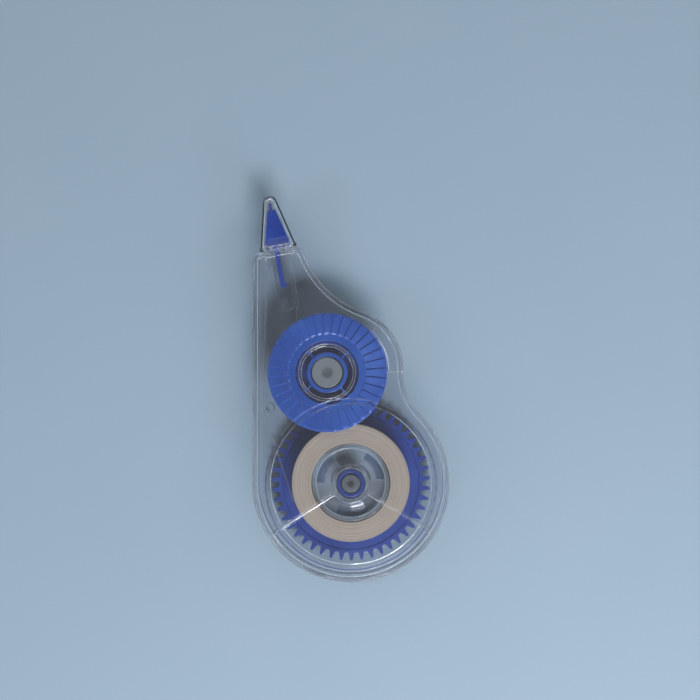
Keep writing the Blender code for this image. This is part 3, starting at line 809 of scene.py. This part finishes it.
# %% [markdown]
# ## Pinion and drum
# The small gear and the drum that winds the used film are one moulding: a tube stands on the
# gear, and a shallow cup round it, just clear of the large gear's face, is the drum.

# %% Pinion and drum
take_up_bore = 4.0
tube_outer = 4.95
drum_wall = 0.6
film_build = 0.6
drum_radius = wound_high[0] - TAKE_UP[0] - film_build - gap
pinion = toothed_ring(
    "blue_pinion_drum", gear_outline(TAKE_UP_TEETH, mesh_bearing + 180.0 + 180.0 / TAKE_UP_TEETH),
    TAKE_UP, gear_low[2], gear_high[2], [(7.2, 0.0), (6.0, 0.0)], take_up_bore)
base = gear_high[2] + gap
fuse(pinion, tube("tube", take_up_bore, tube_outer, gear_high[2] - gap, drum_high[2] - 1.1, TAKE_UP),
     turned("cup", [(tube_outer - 0.2, base), (drum_radius, base, 0.1), (drum_radius, drum_high[2], 0.1),
                    (drum_radius - drum_wall, drum_high[2], 0.1),
                    (drum_radius - drum_wall, base + drum_wall, 0.2),
                    (tube_outer - 0.2, base + drum_wall)], 96, TAKE_UP))
smooth(pinion)

# %% [markdown]
# ## Ribbed take-up flange
# Thirty-six ribs run out from a smooth band to the rim. Each rises gently with the bearing and
# then drops at once, like a saw tooth, so on one side of the reel its riser catches the light
# and on the other side it is a dark line. The height is faded in and out along the radius.

# %% Ribbed flange
RIBS = 36
disc_radius = (disc_high[0] - disc_low[0]) / 2
rib_height = 0.3
disc_face = disc_high[2] - rib_height
rib_inner = 9.3
disc_bore = 7.7


def eased(value, low, high):
    """0 below low, 1 above high and a smooth slope between."""
    t = np.clip((value - low) / (high - low), 0, 1)
    return t * t * (3 - 2 * t)


def make_flange():
    """Loops whose height is rib_height times a saw tooth of the bearing and a radial fade."""
    share = np.array([0.0, 0.12, 0.24, 0.36, 0.48, 0.60, 0.72, 0.82, 0.88, 0.92, 0.955, 0.985])
    bearings = ((np.arange(RIBS)[:, None] + 0.5 + share) * 360.0 / RIBS).ravel()
    rib = np.tile(np.clip(share / 0.88, 0, 1) * (1 - eased(share, 0.91, 0.99)), RIBS)
    around = toward(np.radians(bearings))
    rim = disc_radius - 0.3
    radii = np.concatenate([[disc_bore + 0.25, 8.2, 9.1], np.linspace(rib_inner, rib_inner + 0.5, 5),
                            np.linspace(10.4, disc_radius - 0.5, 8), [rim]])
    fades = eased(radii, rib_inner, rib_inner + 0.45) * (1 - eased(radii, disc_radius - 0.5, rim))
    rows = [(TAKE_UP + radius * around, disc_face + rib_height * fade * rib)
            for radius, fade in zip(radii, fades)]
    edge = rounded([(rim, disc_face), (disc_radius, disc_face, 0.22), (disc_radius, disc_low[2], 0.3),
                    (disc_bore, disc_low[2], 0.15), (disc_bore, disc_face, 0.2),
                    (disc_bore + 0.25, disc_face)], 5, closed=False)[1:-1]
    rows += [(TAKE_UP + radius * around, z) for radius, z in edge]
    return skin("blue_flange", rows, ends=False)


spoke = 0.5
flange = make_flange()
fuse(flange, tube("hub", take_up_bore, tube_outer, disc_low[2], disc_face, TAKE_UP, 0.15),
     *[radial_slab("spoke", angle, tube_outer - 0.3, 8.0, spoke, disc_low[2], disc_low[2] + spoke, TAKE_UP)
       for angle in (45.0, 132.0, 219.0, 312.0)])
smooth(flange, 32)
print("flange", RIBS, "ribs")

# %% [markdown]
# ## Clear core
# The core's web has three ramps that fall from the hub like slices of a cone, with flat
# sectors between. One profile goes round the axis, and the web's height in it depends on
# the bearing.

# %% Clear core
web_low = roll_low[2] + 1.2
web_high = web_low + 0.8
RAMP_MIDDLES = np.array([33.0, 153.0, 273.0])
ramp_half = 28.5
ramp_rise = 1.25
ramp_inner = 4.9
web_inner = 4.95
lip = 1.1
core_wall = 0.7
hub_wall = 0.9
core_radius = core_high[0]


def make_core():
    """One profile round the axis; its web is ramp_rise * fall(radius) * ramp(bearing) higher."""
    bearings = np.sort(np.concatenate([np.arange(0, 360, 2.0)] + [
        middle + side * (ramp_half + np.array([-1.2, -0.8, -0.4, 0.4, 0.8, 1.2]))
        for middle in RAMP_MIDDLES for side in (-1, 1)]) % 360)
    away = np.min(np.abs((bearings[:, None] - RAMP_MIDDLES + 180) % 360 - 180), axis=1)
    web_outer = core_radius - lip
    ramp = 1.0 - eased(away, ramp_half - 1.1, ramp_half + 1.1)
    around = toward(np.radians(bearings))

    def lift(radius):
        fall = np.clip((web_outer - radius) / (web_outer - ramp_inner), 0, 1)
        return ramp_rise * (1 - eased(radius, web_outer - 0.6, web_outer - 0.2)) * fall * ramp

    rim, inner = core_radius, core_radius - core_wall
    hub_in = bush_high[0] + gap
    hub_out = hub_in + hub_wall
    low, high, step = core_low[2], core_high[2], core_high[2] - 0.6
    outside = rounded([(rim - 0.35, low), (rim, low, 0.15), (rim, high, 0.2), (rim - lip, high, 0.2),
                       (rim - lip, step, 0.15), (inner, step, 0.1), (inner, web_high, 0.2),
                       (web_outer, web_high)], 5, closed=False)
    hub = rounded([(web_inner, web_high), (hub_out, web_high), (hub_out, step, 0.2), (hub_in, step, 0.2),
                   (hub_in, low, 0.15), (hub_out, low, 0.15), (hub_out, web_low), (web_inner, web_low)],
                  5, closed=False)
    stations = np.linspace(web_outer - 0.2, 5.0, 9)
    rows = list(outside)
    rows += [(radius, web_high + lift(radius)) for radius in (*stations, web_inner)]
    rows += list(hub[1:])
    rows += [(radius, web_low) for radius in (*stations[::-1], web_outer + 0.3, inner)]
    rows.append((inner, low + 0.1))
    return skin("clear_core", [(radius * around, z) for radius, z in rows], ends=False)


core = smooth(make_core(), 32)

# %% [markdown]
# ## Bush and clutch ring
# A blue bush carries the core on its post. A soft grey ring, an ellipse turned round the axis,
# is the clutch that lets the roll slip in the gear.

# %% Bush and clutch ring
bush_wall = 0.9
ring_half = 0.5
ring_half_height = 0.7
bush = smooth(tube("blue_bush", bush_high[0] - bush_wall, bush_high[0], bush_low[2], bush_high[2], edge=0.22))
ring_middle = (clutch_low[2] + clutch_high[2]) / 2
ring = circle(1.0, 20) * (ring_half, ring_half_height) + (clutch_high[0] - ring_half, ring_middle)
clutch = smooth(skin("grey_clutch_ring", [(circle(radius), z) for radius, z in ring], ends=False))

# %% [markdown]
# ## Tape roll
# A roll's side is never flat: each turn stands a little higher or lower than the last. Seeded
# dice give every turn a dip of its own, of up to a few hundredths of a millimetre.

# %% Tape roll and wound film
def wound(name, inner, outer, low, high, centre, turns, play, seed):
    """A roll whose two faces step from turn to turn by up to play millimetres."""
    dice = np.random.default_rng(seed)
    radii = np.linspace(outer - 0.05, inner + 0.05, turns)
    dips = play * dice.random(turns)
    rows = [(outer, low + play), (outer, high - play)]
    rows += list(zip(radii, high - dips))
    rows += [(inner, high - play), (inner, low + play)]
    rows += list(zip(radii[::-1], low + play * dice.random(turns)))
    return skin(name, [(circle(radius, 144, centre), z) for radius, z in rows], ends=False)


roll = smooth(wound("cream_tape_roll", core_radius + gap, roll_high[0], roll_low[2], roll_high[2],
                    SUPPLY, 60, 0.05, 7), 60)
wound_inner = drum_radius + gap
wound_outer = wound_high[0] - TAKE_UP[0]
spent = smooth(wound("wound_film", wound_inner, wound_outer, roll_low[2], roll_high[2],
                     TAKE_UP, 10, 0.04, 3), 60)

# %% [markdown]
# ## Film
# The film leaves the roll, bends round the guide post, turns over the nib, slides down the
# cradle's side and crosses to the drum. That is a belt round circles: straight runs touch each
# circle, and arcs join them.

# %% Film
film_off = 0.4
film_thickness = 0.08
film_step = 0.5


def touching(first, first_radius, first_side, second, second_radius, second_side):
    """Ends of the straight run between two circles; side +1 keeps a circle on the right."""
    heading = bearing(first, second)
    distance = np.linalg.norm(np.array(second) - np.array(first))
    leaning = math.degrees(math.asin((first_side * first_radius - second_side * second_radius) / distance))

    def touch(centre, radius, side):
        return centre + radius * toward(math.radians(heading - leaning + 90.0 * side))

    return touch(first, first_radius, first_side), touch(second, second_radius, second_side)


def belt(circles):
    """Points of a belt round circles of (centre, radius, side)."""
    runs = [touching(*circles[k], *circles[k + 1]) for k in range(len(circles) - 1)]
    points = [[runs[0][0]]]
    for k in range(1, len(circles) - 1):
        centre, radius, side = circles[k]
        start = bearing(centre, runs[k - 1][1])
        turn = (side * (start - bearing(centre, runs[k][0]))) % 360.0
        points.append(arc(centre, radius, start, start - side * turn, 8.0))
    points.append([runs[-1][1]])
    return np.vstack(points)


def ribbon(name, path, thickness, low, high):
    """A strip of constant thickness standing on edge along a path."""
    ahead = np.gradient(path, axis=0)
    ahead /= np.linalg.norm(ahead, axis=1, keepdims=True)
    side = np.stack([-ahead[:, 1], ahead[:, 0]], -1) * thickness / 2
    outline = np.vstack([path - side, (path + side)[::-1]])
    return skin(name, [(outline, low), (outline, high)])


def evened(path, step):
    """The same path with points at even steps."""
    lengths = np.concatenate([[0.0], np.cumsum(np.linalg.norm(np.diff(path, axis=0), axis=1))])
    spots = np.arange(0, lengths[-1], step)
    return np.stack([np.interp(spots, lengths, path[:, k]) for k in (0, 1)], -1)


u, v = CRADLE
film_path = evened(belt([
    (SUPPLY, roll_high[0] + film_off, 1), (SOCKETS["guide"], socket_radius + film_off, 1),
    (from_nozzle(0.0, nib_top - 0.25), 0.65, 1),
    (from_nozzle(u + cradle_half - cradle_wall / 2, cradle_right_top), cradle_wall / 2 + film_off, 1),
    (from_nozzle(u, v), cradle_half + film_off, 1), (TAKE_UP, wound_outer + film_off, -1)]), film_step)
film = smooth(ribbon("clear_film", film_path, film_thickness, roll_low[2] + 0.1, roll_high[2] - 0.1))
print("film", round(len(film_path) * film_step, 1), "mm long")

# %% [markdown]
# ## Clear plastic
# The case is clear styrene: it bends light a little, lets nearly all of it through and takes
# fine scratches from handling. Glass shaders cast black shadows, so for shadow rays alone the
# plastic turns into a tinted transparent sheet, and the lamps still reach the reels inside.

# %% Clear plastic
# Pale milky colour over the posts: partly frosting, partly painted light standing in for the light that the
# solid posts carry down.
MILK_AND_PAINTED_LIGHT = (0.55, 0.63, 0.70, 1.0)


def frost_and_painted_light(paint, clear, posts):
    """The clear shader with a milky one mixed in over the posts, as (axis, radius, share).

    The milky shader is partly a frosted top and partly painted light: its pale colour stands
    in for the light that the solid posts carry down to the shaded floor under them.
    """
    milky = paint.node("ShaderNodeBsdfPrincipled", None, {"Base Color": MILK_AND_PAINTED_LIGHT, "Roughness": 0.45})
    share = 0.0
    for centre, radius, amount in posts:
        distance, _ = paint.polar(centre)
        share = distance.between(radius - 0.15, radius + 0.05, amount, 0.0) + share
    return paint.node("ShaderNodeMixShader", None, {0: share, 1: clear, 2: milky})


def clear_plastic(name, tint, shadow_tint, roughness, haze, scratches=0.06, posts=(), deep=None):
    """Refracting plastic with a little haze, clouded roughness and faint waves.

    With a deep tint, painted dark reflection darkens the three ramps outwards, where
    cos(3 (b - b0)) is above zero at a bearing b, b0 being the middle of the first ramp. The
    darker base colour stands in for the dark surroundings that the ramps' slopes mirror.
    """
    paint = Paint(name, tint, roughness,
                  {"Transmission Weight": 1.0 - haze, "IOR": 1.49, "Coat Roughness": 0.03})
    if deep:
        # Painted dark reflection: the ramps' base colour turns to the deep tint, standing in for the dark
        # surroundings that their slopes mirror.
        distance, around = paint.polar(SUPPLY)
        turn = (around - math.radians(RAMP_MIDDLES[0])) * len(RAMP_MIDDLES)
        ramp_dark_reflection = paint.math("COSINE", turn).between(0.0, 0.16)
        ramp_dark_reflection = ramp_dark_reflection * distance.between(ramp_inner, 7.6, 0.25, 1.0)
        ramp_dark_reflection = ramp_dark_reflection * distance.between(core_radius - lip, core_radius - lip + 0.1, 1.0, 0.0)
        paint.feed("Base Color", paint.mix(ramp_dark_reflection, tint, deep))
        paint.feed("Coat Weight", 1.0)
    cloud = paint.noise(90.0, 4.0)
    fine = paint.noise(900.0, 2.0, (1.0, 0.12, 1.0))
    paint.feed("Roughness", cloud.between(0.35, 0.75, roughness, roughness + scratches)
               + fine.between(0.62, 0.78, 0.0, scratches))
    paint.relief(paint.noise(160.0, 2.0), 0.05, 0.05)
    clear = Wire(paint, paint.shader.outputs[0])
    if posts:
        clear = frost_and_painted_light(paint, clear, posts)
    sheet = paint.node("ShaderNodeBsdfTransparent", None, {"Color": (*shadow_tint, 1.0)})
    shadow_ray = paint.node("ShaderNodeLightPath", output="Is Shadow Ray")
    surface = paint.node("ShaderNodeMixShader", None, {0: shadow_ray, 1: clear, 2: sheet})
    paint.put(paint.end.inputs["Surface"], surface)
    return paint.material


# The milky share over the posts is partly frosting and partly painted light.
CASE_PLASTIC = clear_plastic("clear_case_plastic", (0.90, 0.92, 0.96), (0.948, 0.955, 0.97), 0.025, 0.025,
                             posts=((*POSTS["take_up"][:2], 0.16), (*POSTS["supply"][:2], 0.08)))
CAP_PLASTIC = clear_plastic("clear_cap_plastic", (0.93, 0.94, 0.96), (0.965, 0.97, 0.98), 0.03, 0.008)
# The deep tint is painted dark reflection on the core's ramps.
CORE_PLASTIC = clear_plastic("clear_core_plastic", (0.80, 0.91, 1.0), (0.965, 0.978, 0.99), 0.04, 0.22, 0.03,
                             deep=(0.28, 0.37, 0.54))

# %% [markdown]
# ## Blue mouldings
# The gears and the tip are deep blue, and the ribbed flange is a lighter blue. A moulded
# plastic is never quite even: its colour drifts slightly, its gloss is clouded and flow lines
# run through it, so colour, roughness and relief each take their own noise.

# %% Blue plastics
def blue_plastic(name, deep, light, roughness, centre=None):
    """Opaque moulded plastic, with turned marks round an axis if it has one."""
    paint = Paint(name, deep, roughness, {"IOR": 1.5, "Coat Roughness": 0.12})
    cloud = paint.noise(140.0, 4.0)
    paint.feed("Base Color", paint.mix(cloud.between(0.3, 0.7), deep, light))
    paint.feed("Roughness", cloud.between(0.3, 0.75, roughness, roughness + 0.14))
    paint.feed("Coat Weight", paint.noise(60.0).between(0.3, 0.7, 0.15, 0.35))
    grain = paint.noise(2600.0, 2.0)
    if centre is not None:
        distance, _ = paint.polar(centre)
        grain = grain * 0.6 + paint.grooves(distance, 9.0) * 0.4
    paint.relief(grain, 0.12, 0.02)
    return paint.material


GEAR_BLUE = blue_plastic("deep_blue_gear_plastic", (0.010, 0.048, 0.34), (0.016, 0.068, 0.42), 0.30, SUPPLY)
DRUM_BLUE = blue_plastic("deep_blue_drum_plastic", (0.012, 0.046, 0.32), (0.020, 0.066, 0.38), 0.32, TAKE_UP)
FLANGE_BLUE = blue_plastic("mid_blue_flange_plastic", (0.012, 0.105, 0.56), (0.020, 0.140, 0.64), 0.27,
                           TAKE_UP)
TIP_BLUE = blue_plastic("deep_blue_tip_plastic", (0.012, 0.062, 0.46), (0.020, 0.085, 0.54), 0.33)

# %% [markdown]
# ## Tape, film and ring
# The roll's face is the edge of hundreds of turns: thin dark and pale rings whose width
# varies, on a warm cream. Colour and relief both depend on the distance from the axis.

# %% Cream tape
def tape_paint():
    """Cream whose shade follows fine turns, broad bands and soft patches."""
    paint = Paint("cream_tape", (0.66, 0.56, 0.46), 0.62, {"Specular IOR Level": 0.35})
    distance, _ = paint.polar(SUPPLY)
    turns = paint.grooves(distance, 16.0, 3.0)
    bands = paint.grooves(distance, 1.6, 1.0)
    patches = paint.noise(120.0, 2.0)
    share = turns.between(0.3, 0.7, 0.0, 0.55) + bands.between(0.35, 0.65, 0.0, 0.3) + patches * 0.15
    paint.feed("Base Color", paint.mix(share, (0.46, 0.38, 0.31), (0.80, 0.68, 0.56)))
    paint.feed("Roughness", turns.between(0.3, 0.7, 0.5, 0.72))
    paint.relief(turns, 0.35, 0.05)
    return paint.material


TAPE = tape_paint()


# %% Film, wound film and silicone
def film_paint():
    """Thin clear film: mostly see-through, milky where it is dusty."""
    paint = Paint("clear_film", (0.80, 0.82, 0.84), 0.25, {"IOR": 1.4})
    paint.feed("Alpha", paint.noise(300.0, 3.0, (1.0, 1.0, 0.2)).between(0.3, 0.7, 0.22, 0.42))
    paint.feed("Roughness", paint.noise(500.0).between(0.3, 0.7, 0.18, 0.35))
    return paint.material


def wound_paint():
    """Turns of used film: grey-violet with pale rings."""
    paint = Paint("wound_film", (0.35, 0.35, 0.42), 0.3)
    distance, _ = paint.polar(TAKE_UP)
    turns = paint.grooves(distance, 18.0, 3.0)
    paint.feed("Base Color", paint.mix(turns.between(0.3, 0.7), (0.26, 0.27, 0.36), (0.50, 0.50, 0.55)))
    paint.feed("Roughness", turns.between(0.3, 0.7, 0.22, 0.4))
    paint.relief(turns, 0.3, 0.03)
    return paint.material


def silicone_paint():
    """Soft grey rubber with a dusty bloom."""
    paint = Paint("grey_silicone", (0.18, 0.19, 0.21), 0.6)
    dust = paint.noise(700.0, 4.0)
    paint.feed("Base Color", paint.mix(dust.between(0.4, 0.7), (0.15, 0.16, 0.18), (0.24, 0.25, 0.27)))
    paint.feed("Roughness", dust.between(0.3, 0.7, 0.5, 0.72))
    paint.relief(dust, 0.2, 0.02)
    return paint.material


FILM = film_paint()
WOUND = wound_paint()
SILICONE = silicone_paint()

# %% [markdown]
# ## Onto the working model
# Each finished piece takes its finish, rides on the body that its working piece belongs to,
# and stands in for that piece, which is hidden.

# %% Every piece in its place
PIECES = (
    (rear_case, "case", "rear_shell", "clear_plastic", CASE_PLASTIC),
    (front_case, "case", "front_shell", "clear_plastic", CASE_PLASTIC),
    (cap, "cap", "tip_cap", "clear_plastic", CAP_PLASTIC),
    (tip, "case", "tip_head", "blue_plastic", TIP_BLUE),
    (supply_gear, "gear", "supply_gear", "blue_plastic", GEAR_BLUE),
    (clutch, "core", "clutch_ring", "grey_silicone", SILICONE),
    (core, "core", "supply_core", "clear_core_plastic", CORE_PLASTIC),
    (bush, "core", "core_bush", "blue_plastic", DRUM_BLUE),
    (roll, "core", "tape_roll", "cream_tape", TAPE),
    (pinion, "take_up", "take_up_gear", "blue_plastic", DRUM_BLUE),
    (flange, "take_up", "take_up_disc", "reel_blue_plastic", FLANGE_BLUE),
    (spent, "take_up", "take_up_film", "film", WOUND),
    (film, "case", "film_run", "film", FILM),
)
for piece, body, node, slot, finish in PIECES:
    piece.data.materials.clear()
    piece.data.materials.append(finish)
    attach(piece, body)
    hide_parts(node)
print(len(PIECES), "pieces,", sum(len(piece.data.polygons) for piece, *_ in PIECES), "faces")

# %% [markdown]
# ## Floor
# A pale cool board under the case. It is larger than the view, so no edge shows in the clear
# plastic.

# %% Floor
BOARD_HALF = 1.0
BOARD_HEIGHT = -0.0002


def floor_paint():
    """A pale cool board with a faint mottle."""
    paint = Paint("pale_board", (0.50, 0.62, 0.74), 0.7)
    paint.feed("Base Color", paint.mix(paint.noise(25.0, 5.0), (0.40, 0.54, 0.67), (0.43, 0.57, 0.70)))
    return paint.material


corners = [(x * BOARD_HALF, y * BOARD_HALF, BOARD_HEIGHT) for x, y in ((-1, -1), (1, -1), (1, 1), (-1, 1))]
floor_mesh = bpy.data.meshes.new("board")
floor_mesh.from_pydata(corners, [], [(0, 1, 2, 3)])
floor_mesh.materials.append(floor_paint())
board = bpy.data.objects.new("board", floor_mesh)
bpy.context.scene.collection.objects.link(board)
